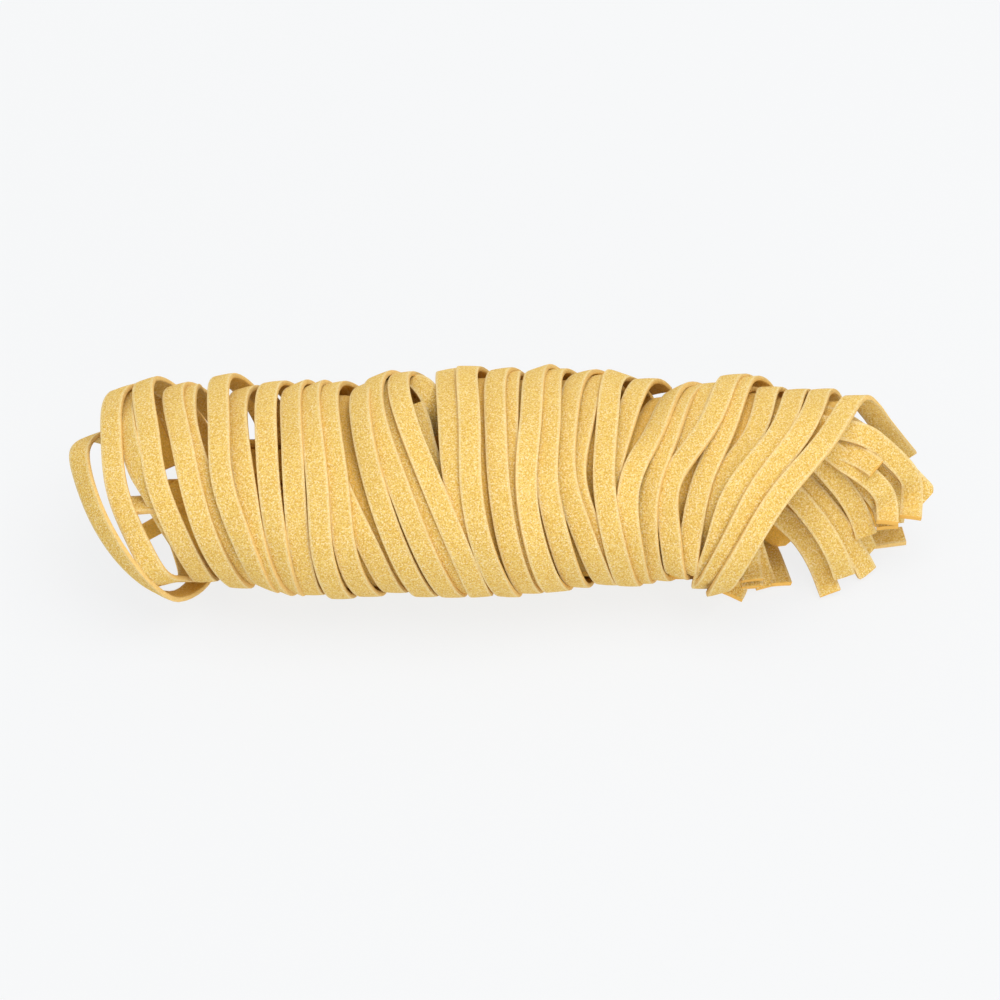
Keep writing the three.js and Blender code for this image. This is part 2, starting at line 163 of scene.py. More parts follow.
# The cut ends that fan out at the right.
TAILS = (
    (((65.4, 8.3, 38.5), (76.6, 6.6, 43.2), (84.6, 5.7, 43), (89.2, 6, 41.9), (94, 6, 40.4),
      (97.5, 5.7, 38.8), (100.7, 5.1, 36), (104.1, 4.4, 32.5), (107.3, 4.3, 28.1),
      (109.2, 4.3, 24), (109.7, 3.5, 20.3), (109.5, 1, 17.8), (109.1, -3, 17.3)), VIEW, VIEW),
    (((68.6, 13.2, 32.1), (83.3, 12.7, 40.1), (90.8, 9.8, 40), (96.9, 8, 36.1), (100.9, 7, 33),
      (104.9, 6.3, 28.8), (108.4, 6.2, 24.4), (111.3, 5.6, 21), (114.3, 4.6, 17.8)), VIEW, VIEW),
    (((65.9, 7.7, 33.7), (79.3, 5.7, 38.1), (86.2, 3.9, 37.6), (91.3, 2.7, 36.5),
      (95.3, 1.4, 35.2), (99.3, -1.6, 34.3)), VIEW, (0.2, -0.5, 0.8)),
    (((65.9, 9.6, 28.5), (82, 8.8, 31.9), (92.6, 9.1, 29.4), (98, 9.3, 25.4), (102.3, 9.1, 21),
      (104.9, 9.3, 15.5), (106, 9.7, 9.5), (105.7, 9.7, 3.1)), UP, (0.1, -1, 0.2)),
    (((63.8, 5.2, 34), (76.6, 4.3, 40.2), (83.3, 3.5, 39.4), (86.8, 2.4, 37.6), (90.2, 0.9, 35.3),
      (93.5, -0.3, 33.5), (96.4, -1.3, 31.8), (99.3, -1.9, 29), (101.5, -2.4, 25.7),
      (102.5, -3, 22.2), (102.7, -4.7, 20.5), (102.5, -7.9, 20.3)), VIEW, VIEW),
    (((63.8, 4.7, 30.7), (79.3, 5.3, 36.2), (88.6, 2.7, 31.6), (92.6, 1.6, 29), (96.4, 1.1, 25.7),
      (99.6, 0.1, 22.5), (101.7, -0.8, 18.9), (102.5, -3.2, 17.1), (102.8, -6.3, 16.8)), VIEW,
      VIEW),
    (((63.3, 18.2, 1), (76.6, 12.6, 1), (84.6, 7.3, 0.9), (91.3, 4.7, 1), (97.5, 4.7, 0.9),
      (108.7, 6.4, 1)), UP, UP),
    (((62.2, 5.3, 32.7), (76.6, 4.2, 38), (80.9, 2.9, 36.3), (84.4, 1.3, 33.7),
      (87.8, -0.6, 30.4), (91.3, -2, 26.1), (94, -3.1, 21.5), (95.9, -3.6, 16.8),
      (97.3, -5.7, 13.2)), VIEW, (0, -0.6, 0.7)),
    (((60.1, 5, 28.2), (75, 5.9, 34.8), (80.9, 4.2, 31.6), (85.2, 1.3, 27.3), (90, -0.7, 21),
      (92.9, -2.1, 16.8), (95.6, -2.5, 10.8), (98.5, -2.6, 3.6)), VIEW, (0.3, -0.5, 0.7)),
    (((60.1, 3, 27.6), (71.3, 4.4, 33.3), (76.6, 1.4, 30.6), (80.4, -0.7, 27.8), (83.6, -2.7, 25),
      (86.5, -4.3, 21.7), (89.4, -5.4, 17.8), (92.1, -6.1, 12.8), (94.5, -6.6, 8.1),
      (96.7, -7.4, 3.9), (98, -7.9, 1.1)), VIEW, (0.2, -0.5, 0.7)),
    (((57.4, 0.2, 27.7), (66.5, 1.1, 32.8), (72.6, -2.2, 30.9), (77.4, -5, 28),
      (81.2, -7.9, 24.8), (84.1, -10.1, 21.8), (86.8, -12, 18), (89.2, -13.2, 13.1),
      (91.4, -13.3, 5.7)), VIEW, (-0.1, -0.6, 0.7)),
    (((55.8, 2.3, 24.1), (66.5, 0.5, 23.6), (73.2, -3.5, 19.7), (79, -6.2, 14.8),
      (82, -7.8, 11.1), (84.9, -9.6, 5.8), (87.8, -15.7, 1.3)), VIEW, (0.05, -0.6, 0.8)),
    (((61.9, 9.3, 4.2), (68.6, 5.8, 2.1), (71.6, 0.2, 1.3), (73.4, -7, 1.7), (74.8, -12.3, 1.3)),
      UP, (0.3, -0.4, 0.9)),
    (((49.9, -0.5, 17), (61.9, -1.8, 17.2), (65.9, -4.8, 12.7), (67.6, -6.6, 8.1),
      (68.9, -8.4, 4.2), (70.8, -13.4, 1.3)), VIEW, (0.2, -0.4, 0.9)),
    (((48.3, -2.5, 17.9), (60.1, -3.3, 19.9), (64.1, -6, 15.8), (65.7, -8.4, 10.6),
      (66.2, -10.3, 6.5), (66.8, -14.2, 4.7)), VIEW, (0.1, -0.5, 0.8)),
    (((48.3, -2, 15.5), (60.1, -3, 17.3), (64.1, -5.7, 13.2), (65.9, -7.9, 7.5),
      (66.5, -10.1, 3.6), (67, -14.3, 2.1)), VIEW, (0.1, -0.5, 0.8)),
    (((47.3, -3.9, 13.6), (57.4, -8, 10.9), (60.9, -10.5, 7.8), (62.7, -12.4, 4.4),
      (62.7, -13.8, 2), (61.4, -16.8, 1.3)), UP, (0.1, -0.3, 0.9)),
)
# Strips in the shade, inside the open left end and behind the cut ends. Their dough carries painted
# shade.
SHADED = (
    (((-90.5, 14.2, 10.8), (-80, 14, 11.5), (-66, 13, 14), (-54, 12, 18)), (0, -1, 0.3),
      (0, -0.8, 0.6)),
    (((-88, 17.5, 4), (-76, 17, 5), (-60, 16, 8)), (0, -0.8, 0.6), (0, -0.8, 0.6)),
    (((55.8, 3.8, 12.8), (64.6, 4.5, 12.1), (69.2, 3.1, 9.3), (72.6, 2.3, 6.4), (75.3, 2.9, 3.5),
      (77.2, 4.2, 1.4)), (0.1, -1, 0.1), (0.4, -1, -0.3)),
    (((76.6, 12.5, 32.8), (83.3, 10.1, 29.1), (88.6, 7.1, 24.6), (94, 5.4, 19.4),
      (96.9, 4.5, 13.5), (98.3, 5, 5.5)), VIEW, VIEW),
    (((-97.7, 29.6, 27.3), (-95.1, 25.8, 23.6), (-92.4, 21.2, 20.3), (-90.6, 18, 18.6),
      (-89.8, 16.2, 17.4)), (-0.2, -0.8, 0.6), (-0.2, -0.8, 0.6)),
    (((-89.7, 11, 15.8), (-86.8, 7.1, 13.3), (-83, 2, 8.9), (-78.8, -4.6, 3)), (-0.2, -0.9, 0.5),
      (-0.2, -0.9, 0.5)),
    (((-100.1, 2.7, 3.3), (-94.3, 3.9, 6.6), (-88.9, 4.9, 9.7), (-80.9, 5.8, 13.4),
      (-67.6, 5.6, 17.4)), (0.3, -1, -0.1), (0.3, -1, 0.1)),
)
# Loose strips inside the open left end, and two under gaps between the loops.
LOOSE = (
    (((-99.4, 24.5, 38), (-100.1, 18.7, 40.1), (-100, 6.5, 44.8), (-98.8, -1.5, 45.2),
      (-96, -10.5, 42.8), (-92.9, -15.2, 40.1), (-89.9, -19.4, 35.9), (-84.7, -22.8, 26.9),
      (-81, -18.4, 14.7)), (-0.5, 0.2, 0.8), (-0.2, -0.9, 0.1)),
    (((-99, -16, 35), (-96, -16.2, 35.4), (-93, -16.5, 36), (-90.2, -16.7, 36.5)), UP, UP),
    (((-86, 2, 1.2), (-76, 1, 2.2), (-60, 0, 5)), (0, -0.2, 1), UP),
    (((-24, 9.4, 46.8), (-22.2, 3.4, 47.1), (-20.6, -5.2, 47), (-18.4, -12.3, 44.8),
      (-15.2, -19.1, 40.2)), VIEW, (0, -0.9, 0.4)),
    (((-27.5, 25.9, 40.5), (-24, 21.4, 44.6), (-21.4, 16.8, 47), (-19.5, 12.6, 47.8),
      (-17.9, 9.4, 46.8), (-16.8, 7.3, 44), (-16, 5.8, 40.2)), (0, 0.2, 1), VIEW),
)


# ---- what a user would change --------------------------------------------
class RibbonSizes(PropertyGroup):
    """Size and section of the ribbon"""
    width: FloatProperty(name="Width", description="Width of a ribbon", default=5.9 * MM,
                         unit="LENGTH")
    thick: FloatProperty(name="Thickness", description="Thickness of a ribbon", default=1.4 * MM,
                         unit="LENGTH")
    rounding: FloatProperty(name="Edge rounding", description="Radius worn on the ribbon's edges",
                            default=0.32 * MM, unit="LENGTH")
    cupping: FloatProperty(name="Cupping", default=0.12 * MM, unit="LENGTH",
                           description="How far a ribbon's middle stands proud of its edges")


class PastaLook(PropertyGroup):
    """Colours of the dry dough"""
    flour: FloatVectorProperty(name="Dough", description="Main colour of the dry dough",
                               subtype="COLOR", default=(0.88, 0.626, 0.177), min=0, max=1)
    # Pale: the colour of the pale flour specks, and of the painted highlight along the strips'
    # edges.
    pale: FloatVectorProperty(name="Pale edges", description="Colour of the worn, floury edges",
                              subtype="COLOR", default=(0.90, 0.735, 0.405), min=0, max=1)
    bran: FloatVectorProperty(name="Specks", description="Colour of the tan semolina specks",
                              subtype="COLOR", default=(0.70, 0.39, 0.06), min=0, max=1)
    # Deep: painted shade, a deeper colour mixed into faces that look in to the axis, into the
    # second layer and into the strips in the shade.
    deep: FloatVectorProperty(name="Inner dough", description="Colour inside, out of the flour",
                              subtype="COLOR", default=(0.86, 0.475, 0.072), min=0, max=1)
    # The colour of cut dough on the cut ends; on the strips' sides it also stands for painted
    # shade.
    crust: FloatVectorProperty(name="Cut sides", description="Colour where the dough was cut",
                               subtype="COLOR", default=(0.90, 0.52, 0.12), min=0, max=1)


class StageSetup(PropertyGroup):
    """Floor and lights"""
    floor: FloatVectorProperty(name="Floor", description="Colour of the floor", subtype="COLOR",
                               default=(0.088, 0.087, 0.086), min=0, max=1)
    glow: FloatProperty(name="Floor glow", description="Light that the floor gives by itself",
                        default=0.81)
    key: FloatProperty(name="Key light", description="Power of the large soft light above",
                       default=8.2, unit="POWER")
    fill: FloatProperty(name="Fill light", description="Power of the low light in front",
                        default=4.3, unit="POWER")
    sky: FloatProperty(name="Surrounding light", description="Strength of the plain surroundings",
                       default=0.78)


# ---- the winding ---------------------------------------------------------
def natural_cubic(t, v):
    """A natural cubic through the knots (t, v), as a function of an array."""
    t, v = np.asarray(t, float), np.asarray(v, float)
    n, h = len(t), np.diff(t)
    system, right = np.eye(n), np.zeros(n)
    for i in range(1, n - 1):
        system[i, i - 1:i + 2] = h[i - 1], 2 * (h[i - 1] + h[i]), h[i]
        right[i] = 6 * ((v[i + 1] - v[i]) / h[i] - (v[i] - v[i - 1]) / h[i - 1])
    m = np.linalg.solve(system, right)

    def at(s):
        i = np.clip(np.searchsorted(t, s) - 1, 0, n - 2)
        a, b = (t[i + 1] - s) / h[i], (s - t[i]) / h[i]
        bend = (a ** 3 - a) * m[i] + (b ** 3 - b) * m[i + 1]
        return a * v[i] + b * v[i + 1] + bend * h[i] ** 2 / 6

    return at


def smoothstep(x, low, high):
    """0 below low, 1 above high, smooth between."""
    x = np.clip((x - low) / (high - low), 0, 1)
    return x * x * (3 - 2 * x)


def blur(values, steps):
    """The values along a strand, softened over about that many steps."""
    spread = int(3 * steps)
    kernel = np.exp(-0.5 * (np.arange(-spread, spread + 1) / steps) ** 2)
    padded = np.pad(values, spread, mode="edge")
    return np.convolve(padded, kernel / kernel.sum(), mode="valid")


def reach(a):
    """Distance from the axis to the oval's tangent at angle a."""
    return HALF_HEIGHT * HALF_DEPTH / np.hypot(HALF_HEIGHT * np.cos(a), HALF_DEPTH * np.sin(a))


def own_oval(row):
    """Half height, half depth and shift back of a pass's own oval, which rests on the floor."""
    full = math.hypot(HALF_HEIGHT * math.cos(SLOPE), HALF_DEPTH * math.sin(SLOPE))
    size = (row[RISE] - row[DROP]) / 2 / full
    high, deep = HALF_HEIGHT * size, HALF_DEPTH * size
    centre = (row[RISE] + row[DROP]) / 2
    return high, deep, (centre - (high - HALF_HEIGHT) * math.cos(SLOPE)) / math.sin(SLOPE)


def on_common(row, station):
    """Where a station of that oval lies on the common one, in degrees."""
    high, deep, back = own_oval(row)
    a = math.radians(station)
    y, z = back - deep * math.cos(a), high + high * math.sin(a)
    return math.degrees(math.atan2((z - HALF_HEIGHT) / HALF_HEIGHT, -y / HALF_DEPTH))


def pass_height(row, a):
    """Height of that oval over the common one at angle a."""
    high, deep, back = own_oval(row)
    uy, uz, dz = -HALF_DEPTH * math.cos(a), HALF_HEIGHT * math.sin(a), HALF_HEIGHT - high
    qa = (uy / deep) ** 2 + (uz / high) ** 2
    qb = 2 * (-uy * back / deep ** 2 + uz * dz / high ** 2)
    qc = (back / deep) ** 2 + (dz / high) ** 2 - 1
    return ((-qb + math.sqrt(qb * qb - 4 * qa * qc)) / (2 * qa) - 1) * reach(a)


def step_angle(g):
    """Angle of a step in degrees, counted on from turn to turn."""
    k, j = divmod(g, STEPS)
    half = j / FRONT_STEPS if j < FRONT_STEPS else 1 + (j - FRONT_STEPS) / BACK_STEPS
    return STATIONS[0] + 360 * k + 180 * half


def lowered(tier, k, degrees, thick):
    """How much lower than its own oval pass k is wound."""
    if tier == UNDER:
        return UNDER_DEPTH
    if tier == INNER:
        return thick * (1 - smoothstep(degrees - 360 * k, *COME_UP))
    return UNEVEN * (0.5 + 0.5 * math.sin(UNEVEN_WAVE * k))


def knots(rows, first, last, before, after):
    """Angles in degrees and X of the places that a strand is wound through."""
    t, x = [min(step_angle(first), on_common(rows[0], STATIONS[0]) - END_GAP)], [before]
    for k, row in enumerate(rows):
        for station, place in zip(STATIONS, row):
            t.append(360 * k + on_common(row, station))
            x.append(place)
        if k + 1 < len(rows):
            t.append(360 * k + on_common(row, PAST_CREST) % 360)
            x.append(row[4] + CREST_RUN + CREST_LEAN * max(0, row[4] - row[3])
                     + BACK_SHARE * (rows[k + 1][0] - row[4]))
    if after is not None:
        t.append(max(step_angle(last), t[-1] + END_GAP))
        x.append(after)
    return t, x


def strand(rows, first, last, before, after, width, thick, seed):
    """A strand wound through rows of stations, from step first to step last.

    before and after are its X at the two ends."""
    steps = np.arange(first, last + 1)
    deg = np.array([step_angle(g) for g in steps])
    made = {"a": np.radians(deg), "slot": steps % STEPS,
            "x": natural_cubic(*knots(rows, first, last, before, after))(deg)}
    made["k"] = np.clip(steps // STEPS, 0, len(rows) - 1)
    made["tier"] = np.array([rows[k][TIER] for k in made["k"]])
    want = []
    for g, a, k, d in zip(steps, made["a"], made["k"], deg):
        onto = rows[min(k + 1, len(rows) - 1)]
        f = 0 if g < 0 else smoothstep((d - STATIONS[0]) / 180 - 2 * k, *CHANGE_OVER)
        want.append(pass_height(rows[k], a) * (1 - f) + pass_height(onto, a) * f
                    - thick / 2 - lowered(rows[k][TIER], k, d, thick))
    middle = np.interp(deg, [360 * k + STATIONS[2] for k in range(len(rows))],
                       [(row[0] + row[4]) / 2 for row in rows])
    lean = np.clip(-RING_LEAN * (made["x"] - middle) / reach(made["a"]), *LEAN_LIMITS)
    made["set"] = lean * smoothstep(np.sin(made["a"]), *LEAN_COMES)
    made["want"] = blur(np.array(want), EVEN_STEPS) - np.abs(made["set"]) * width / 4
    # A hand-cut ribbon wanders a little.
    rng = np.random.default_rng(seed)
    made["x"] = made["x"] + blur(rng.normal(0, 1, len(steps)), WANDER_STEPS) * WANDER
    made["lean"] = blur(rng.normal(0, 1, len(steps)), ROCK_STEPS) * ROCK
    run = np.hypot(HALF_DEPTH * np.sin(made["a"]), HALF_HEIGHT * np.cos(made["a"]))
    slope = np.gradient(made["x"]) / (run * np.gradient(made["a"]))
    made["half"] = np.minimum(width / 2 * np.hypot(1, slope), WIDEST * width)
    return made


# ---- how the strips come to lie on each other ----------------------------
CELL, CELLS = 0.25, 1000  # size and number of the cells that heights are kept in
NOTHING = 99.0  # a height beyond all others
TILTS = np.arange(-10, 13) * 0.04  # that a strip may take
STIFF = 1.0  # a strip rather climbs than tilts by more than this
TILT_STEPS, LIFT_STEPS, UNDER_STEPS = 3.5, 3, 2.5  # over which each is softened
LIFT_ROUNDS = 3
CREST = math.radians(STATIONS[-1])
# At the crest and where the hank turns under, a pile of strips is pressed to this height.
CLIMB = 1.0
TURNS_UNDER, NEAR_CREST = (0.2, 0.55), (0.75, 0.96)  # where that sets in and is full
ON_FLOOR = (0.5, 0.85)  # and the same for the side that the hank lies on
CLEAR = 0.2  # between the second layer and the strips over it


def covered(s, i):
    """Cells that a strip covers at its step i, and how far each lies from its middle."""
    cells = np.arange(math.ceil((s["x"][i] - s["half"][i]) / CELL),
                      math.floor((s["x"][i] + s["half"][i]) / CELL) + 1)
    return cells + CELLS // 2, cells * CELL - s["x"][i]


def lay(strands, thick, rest):
    """Lays the strips slot by slot, lower tiers first and right to left.

    rest(strip, i, off, under) gives the height and tilt that strip takes over the
    heights under it, and top remembers its upper face."""
    for slot in range(STEPS):
        row = [(s["tier"][i], -s["x"][i], n, i) for n, s in enumerate(strands)
               for i in np.flatnonzero(s["slot"] == slot)]
        top = np.full(CELLS, -NOTHING)
        for _, _, n, i in sorted(row):
            cells, off = covered(strands[n], i)
            under = top[cells]
            h, tilt = rest(strands[n], i, off, under)
            top[cells] = np.maximum(under, h + tilt * off + thick - SINK)


def plank(s, i, off, under):
    """A strip comes to rest like a plank, as low and as near to its own set as it can."""
    heights = [max(s["want"][i], (under - t * off).max()) for t in TILTS]
    _, s["h"][i], s["tilt"][i] = min((h + STIFF * abs(t - s["set"][i]), h, t)
                                     for h, t in zip(heights, TILTS))
    return s["h"][i], s["tilt"][i]


def lifted(s, i, off, under):
    """A strip that was softened is lifted clear of the ones under it."""
    s["lift"][i] = max(0, (under - s["h"][i] - s["tilt"][i] * off).max())
    return s["h"][i] + s["lift"][i], s["tilt"][i]


def settle(strands, thick):
    """Strips settle on the ones laid before them, and are then smoothed."""
    for s in strands:
        s["h"] = s["want"].copy()
        s["tilt"], s["lift"] = np.zeros(len(s["a"])), np.zeros(len(s["a"]))
    lay(strands, thick, plank)
    for s in strands:
        s["h"], s["tilt"] = blur(s["h"], TILT_STEPS), blur(s["tilt"], TILT_STEPS)
    for _ in range(LIFT_ROUNDS):
        lay(strands, thick, lifted)
        for s in strands:
            s["h"] = s["h"] + blur(s["lift"], LIFT_STEPS)
    for s in strands:
        climb = np.maximum(s["h"] - s["want"], 0)
        turn = np.maximum(smoothstep(-np.sin(s["a"]), *TURNS_UNDER),
                          smoothstep(np.cos(s["a"] - CREST), *NEAR_CREST))
        s["h"] -= turn * (climb - CLIMB * (1 - np.exp(-climb / CLIMB)))
        # Where the hank lies on the floor its strips are pressed together.
        press = smoothstep(-np.sin(s["a"]), *ON_FLOOR)
        pressed = np.minimum(s["want"], 0) - PRESSED * (s["k"] % 2)
        s["h"] = blur(s["h"] + press * (pressed - s["h"]), EVEN_STEPS)
        s["tilt"] = (s["tilt"] + s["lean"]) * (1 - press)


def slipped_under(inner, strands, thick):
    """The second layer keeps clear below the strips that have settled."""
    for slot in range(STEPS):
        low = np.full(CELLS, NOTHING)
        for s in strands:
            for i in np.flatnonzero(s["slot"] == slot):
                cells, off = covered(s, i)
                low[cells] = np.minimum(low[cells], s["h"][i] + s["tilt"][i] * off)
        for s in inner:
            for i in np.flatnonzero(s["slot"] == slot):
                cells, _ = covered(s, i)
                s["want"][i] = min(s["want"][i], low[cells].min() - thick - CLEAR)
    for s in inner:
        s["h"], s["tilt"] = blur(s["want"], UNDER_STEPS), s["lean"]
    return inner


def short_strips(rows, width, thick, seed):
    """A strip of its own for each row, which runs on a little at both ends."""
    return [strand([p], -SHORT_TUCK, FRONT_STEPS + SHORT_TAIL, p[0] + TUCK_LEAN * (p[0] - p[1]),
                   p[4] + TAIL_LEAN * (p[4] - p[3]) + TAIL_RUN, width, thick, seed + n)
            for n, p in enumerate(rows)]


def wind(width, thick):
    """The long wound strand first, then the short inner ones; the second layer apart."""
    wound = [p for p in PASSES if p[TIER] != INNER]
    strands = [strand(wound, -FIRST_TUCK, (len(wound) - 1) * STEPS + FRONT_STEPS,
                      wound[0][0] + FIRST_SHIFT, None, width, thick, SEEDS["long"])]
    first = strands[0]
    first["lean"] += FIRST_TURN * (1 - smoothstep(np.degrees(first["a"]), *TURN_FADES))
    inner = [p for p in PASSES if p[TIER] == INNER]
    strands += short_strips(inner, width, thick, SEEDS["inner"])
    settle(strands, thick)
    between = [tuple((a + b) / 2 for a, b in zip(p, q))[:TIER] + (UNDER,)
               for p, q in zip(PASSES, PASSES[1:])
               if any(low < (p[2] + q[2]) / 2 < high for low, high in CLOSED)]
    under = short_strips(between, width, thick, SEEDS["under"])
    return strands, slipped_under(under, strands, thick)


# ---- lines and the way that strips face along them -----------------------
def unit(v):
    return v / np.linalg.norm(v, axis=1)[:, None]


def rails(points, up):
    """Across and up directions square to the line through the points."""
    along = unit(np.gradient(points, axis=0))
    up = unit(up - (up * along).sum(1)[:, None] * along)
    return np.cross(along, up), up


def strand_rails(s):
    """Centre line of a wound strip, with its across and up directions."""
    m = 1 + s["h"] / reach(s["a"])
    points = np.stack([s["x"], -HALF_DEPTH * m * np.cos(s["a"]),
                       HALF_HEIGHT + HALF_HEIGHT * m * np.sin(s["a"])], 1)
    normal = unit(np.stack([0 * s["a"], -np.cos(s["a"]) / HALF_DEPTH,
                            np.sin(s["a"]) / HALF_HEIGHT], 1))
    normal[:, 0] = -s["tilt"]
    return points, *rails(points, normal)


def lead_out(points, up, angles, line, end_up):
    """The wound strip leaves its last loop behind the crest and runs on along the line."""
    keep = int(np.searchsorted(angles, angles[-1] - math.radians(STATIONS[-1] - LEAVES_AT)))
    tail = through([*points[keep - GUIDE_STEPS:keep + 1:GUIDE_EVERY], *line], LEAD_POINTS)
    tail = tail[np.linalg.norm(tail - points[keep], axis=1).argmin() + 1:]
    f = smoothstep(np.linspace(0, 1, len(tail)), 0, LEAD_TURNS)[:, None]
    points = np.vstack([points[:keep + 1], tail])
    up = np.vstack([up[:keep + 1], up[keep] * (1 - f) + np.array(end_up) * f])
    return points, *rails(points, up)


KNOT_POINTS = 40  # worked out between two knots of a line
LEAST_STEP = 1e-4


def through(points, count):
    """Centripetal Catmull-Rom line through the points, evenly stepped."""
    p = np.array(points, float)
    p = np.vstack([2 * p[0] - p[1], p, 2 * p[-1] - p[-2]])
    u = np.linspace(0, 1, KNOT_POINTS)[:, None]
    dense = []
    for i in range(1, len(p) - 2):
        d = [max(np.linalg.norm(p[j + 1] - p[j]) ** 0.5, LEAST_STEP)
             for j in (i - 1, i, i + 1)]
        m1 = ((p[i] - p[i - 1]) / d[0] - (p[i + 1] - p[i - 1]) / (d[0] + d[1])
              + (p[i + 1] - p[i]) / d[1]) * d[1]
        m2 = ((p[i + 1] - p[i]) / d[1] - (p[i + 2] - p[i]) / (d[1] + d[2])
              + (p[i + 2] - p[i + 1]) / d[2]) * d[1]
        dense.append(p[i] * (2 * u ** 3 - 3 * u ** 2 + 1) + m1 * (u ** 3 - 2 * u ** 2 + u)
                     + p[i + 1] * (3 * u ** 2 - 2 * u ** 3) + m2 * (u ** 3 - u ** 2))
    dense = np.vstack(dense)
    far = so_far(dense)
    at = np.linspace(0, far[-1], count)
    return np.stack([np.interp(at, far, dense[:, c]) for c in range(3)], 1)


def so_far(points):
    """Length of the line up to each point."""
    return np.concatenate([[0], np.cumsum(np.linalg.norm(np.diff(points, axis=0), axis=1))])


# ---- making the strips ---------------------------------------------------
ACROSS = 4  # faces across a band
EDGE_SEGMENTS, EDGE_ANGLE, SMOOTH_ANGLE = 2, math.radians(50), math.radians(35)


def deselect():
    if bpy.context.object and bpy.context.object.mode != "OBJECT":
        bpy.ops.object.mode_set(mode="OBJECT")
    bpy.ops.object.select_all(action="DESELECT")


def add_band(points, across, up, sizes, cup=1.0):
    """A flat band: a grid bent along the line.

    Its UVs are the way still to go to its far end, in millimetres below 0, and 0 to 1 across."""
    deselect()
    count, half_wide, cupping = len(points), sizes.width / MM / 2, cup * sizes.cupping / MM
    bpy.ops.mesh.primitive_grid_add(x_subdivisions=count - 1, y_subdivisions=ACROSS, size=1,
                                    calc_uvs=True)
    band = bpy.context.object
    mesh = band.data
    flat = np.empty(len(mesh.vertices) * 3)
    mesh.vertices.foreach_get("co", flat)
    flat = flat.reshape(-1, 3)
    i, v = np.rint((flat[:, 0] + 0.5) * (count - 1)).astype(int), flat[:, 1] * 2
    placed = (points[i] + across[i] * (v * half_wide)[:, None]
              + up[i] * (cupping * (0.5 - v * v))[:, None] - np.array((*MIDDLE, 0)))
    low, high = (np.array(corner) for corner in CAD_BOX)
    placed = np.clip(placed * MM, low + sizes.thick / 2, high - sizes.thick / 2)
    mesh.vertices.foreach_set("co", placed.ravel())
    uv = np.empty(len(mesh.loops) * 2)
    mesh.uv_layers[0].data.foreach_get("uv", uv)
    uv = uv.reshape(-1, 2)
    far = so_far(points)
    uv[:, 0] = far[np.rint(uv[:, 0] * (count - 1)).astype(int)] - far[-1]
    mesh.uv_layers[0].data.foreach_set("uv", uv.ravel())
    mesh.update()
    return band


def free_bands(lines, sizes):
    """A band along each free line, with its face turning from one direction to the other."""
    bands = []
    for line, start, end in lines:
        points = through(line, FREE_POINTS)
        f = np.linspace(0, 1, len(points))[:, None]
        across, up = rails(points, np.array(start, float) * (1 - f) + np.array(end, float) * f)
        bands.append(add_band(points, across, up, sizes))
    return bands


def finish_strips(bands, name, sizes, material):
    """Joins the bands, gives them their thickness and rounds their edges."""
    deselect()
    for b in bands:
        b.select_set(True)
    piece = bands[0]
    bpy.context.view_layer.objects.active = piece
    if len(bands) > 1:
        bpy.ops.object.join()
    piece.name = piece.data.name = name
    wall = piece.modifiers.new("Thickness", "SOLIDIFY")
    wall.thickness, wall.offset, wall.use_even_offset = sizes.thick, 0, True
    edge = piece.modifiers.new("Worn edges", "BEVEL")
    edge.width, edge.segments = sizes.rounding, EDGE_SEGMENTS
    edge.limit_method, edge.angle_limit = "ANGLE", EDGE_ANGLE
    for modifier in (wall.name, edge.name):
        bpy.ops.object.modifier_apply(modifier=modifier)
    bpy.ops.object.mode_set(mode="EDIT")
    bpy.ops.mesh.select_all(action="SELECT")
    bpy.ops.mesh.normals_make_consistent(inside=False)
    bpy.ops.object.mode_set(mode="OBJECT")
    bpy.ops.object.shade_smooth_by_angle(angle=SMOOTH_ANGLE)
    piece.data.materials.clear()
    piece.data.materials.append(material)
    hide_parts(NODE)
    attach(piece, "root")
    return piece


# ---- material ------------------------------------------------------------
class Wire:
    """A socket in a shader expression."""

    def __init__(self, shop, socket):
        self.shop, self.socket = shop, socket

    def _math(self, operation, a, b):
        return self.shop.node("ShaderNodeMath", {"operation": operation}, {0: a, 1: b})

    def __add__(self, o): return self._math("ADD", self, o)
    def __radd__(self, o): return self._math("ADD", o, self)
    def __sub__(self, o): return self._math("SUBTRACT", self, o)
    def __rsub__(self, o): return self._math("SUBTRACT", o, self)
    def __mul__(self, o): return self._math("MULTIPLY", self, o)
    def __rmul__(self, o): return self._math("MULTIPLY", o, self)
    def __abs__(self): return self._math("ABSOLUTE", self, 0.0)

    def ramp(self, low, high):
        """0 at low, 1 at high, smooth between."""
        return self.shop.node("ShaderNodeMapRange", {"interpolation_type": "SMOOTHSTEP"},
                              {"Value": self, "From Min": low, "From Max": high})


class Shop:
    """Makes the nodes of one material."""

    def __init__(self, name):
        self.material = bpy.data.materials.new(name)
        self.material.use_nodes = True
        self.tree = self.material.node_tree
        self.tree.nodes.clear()

    def node(self, kind, settings=None, inputs=None, output=0):
        made = self.tree.nodes.new(kind)
        for key, value in (settings or {}).items():
            setattr(made, key, value)
        for key, value in (inputs or {}).items():
            socket = made.inputs[key]
            if isinstance(value, Wire):
                self.tree.links.new(value.socket, socket)
            elif value is not None:
                socket.default_value = value
        return Wire(self, made.outputs[output]) if made.outputs else made

    def parts(self, vector, wanted):
        """The wanted numbers of a vector, 0 for X to 2 for Z."""
        return (self.node("ShaderNodeSeparateXYZ", {}, {0: vector}, n) for n in wanted)

    def noise(self, where, scale, detail=2.0, rough=0.5):
        return self.node("ShaderNodeTexNoise", {}, {"Vector": where, "Scale": scale,
                                                    "Detail": detail, "Roughness": rough})

    def mix(self, factor, a, b):
        """Colour a, with that share of colour b."""
        return self.node("ShaderNodeMix", {"data_type": "RGBA", "blend_type": "MIX"},
                         {0: factor, 6: a, 7: b}, 2)


def colour(c, gain=1.0):
    return tuple(min(1.0, v * gain) for v in c) + (1.0,)


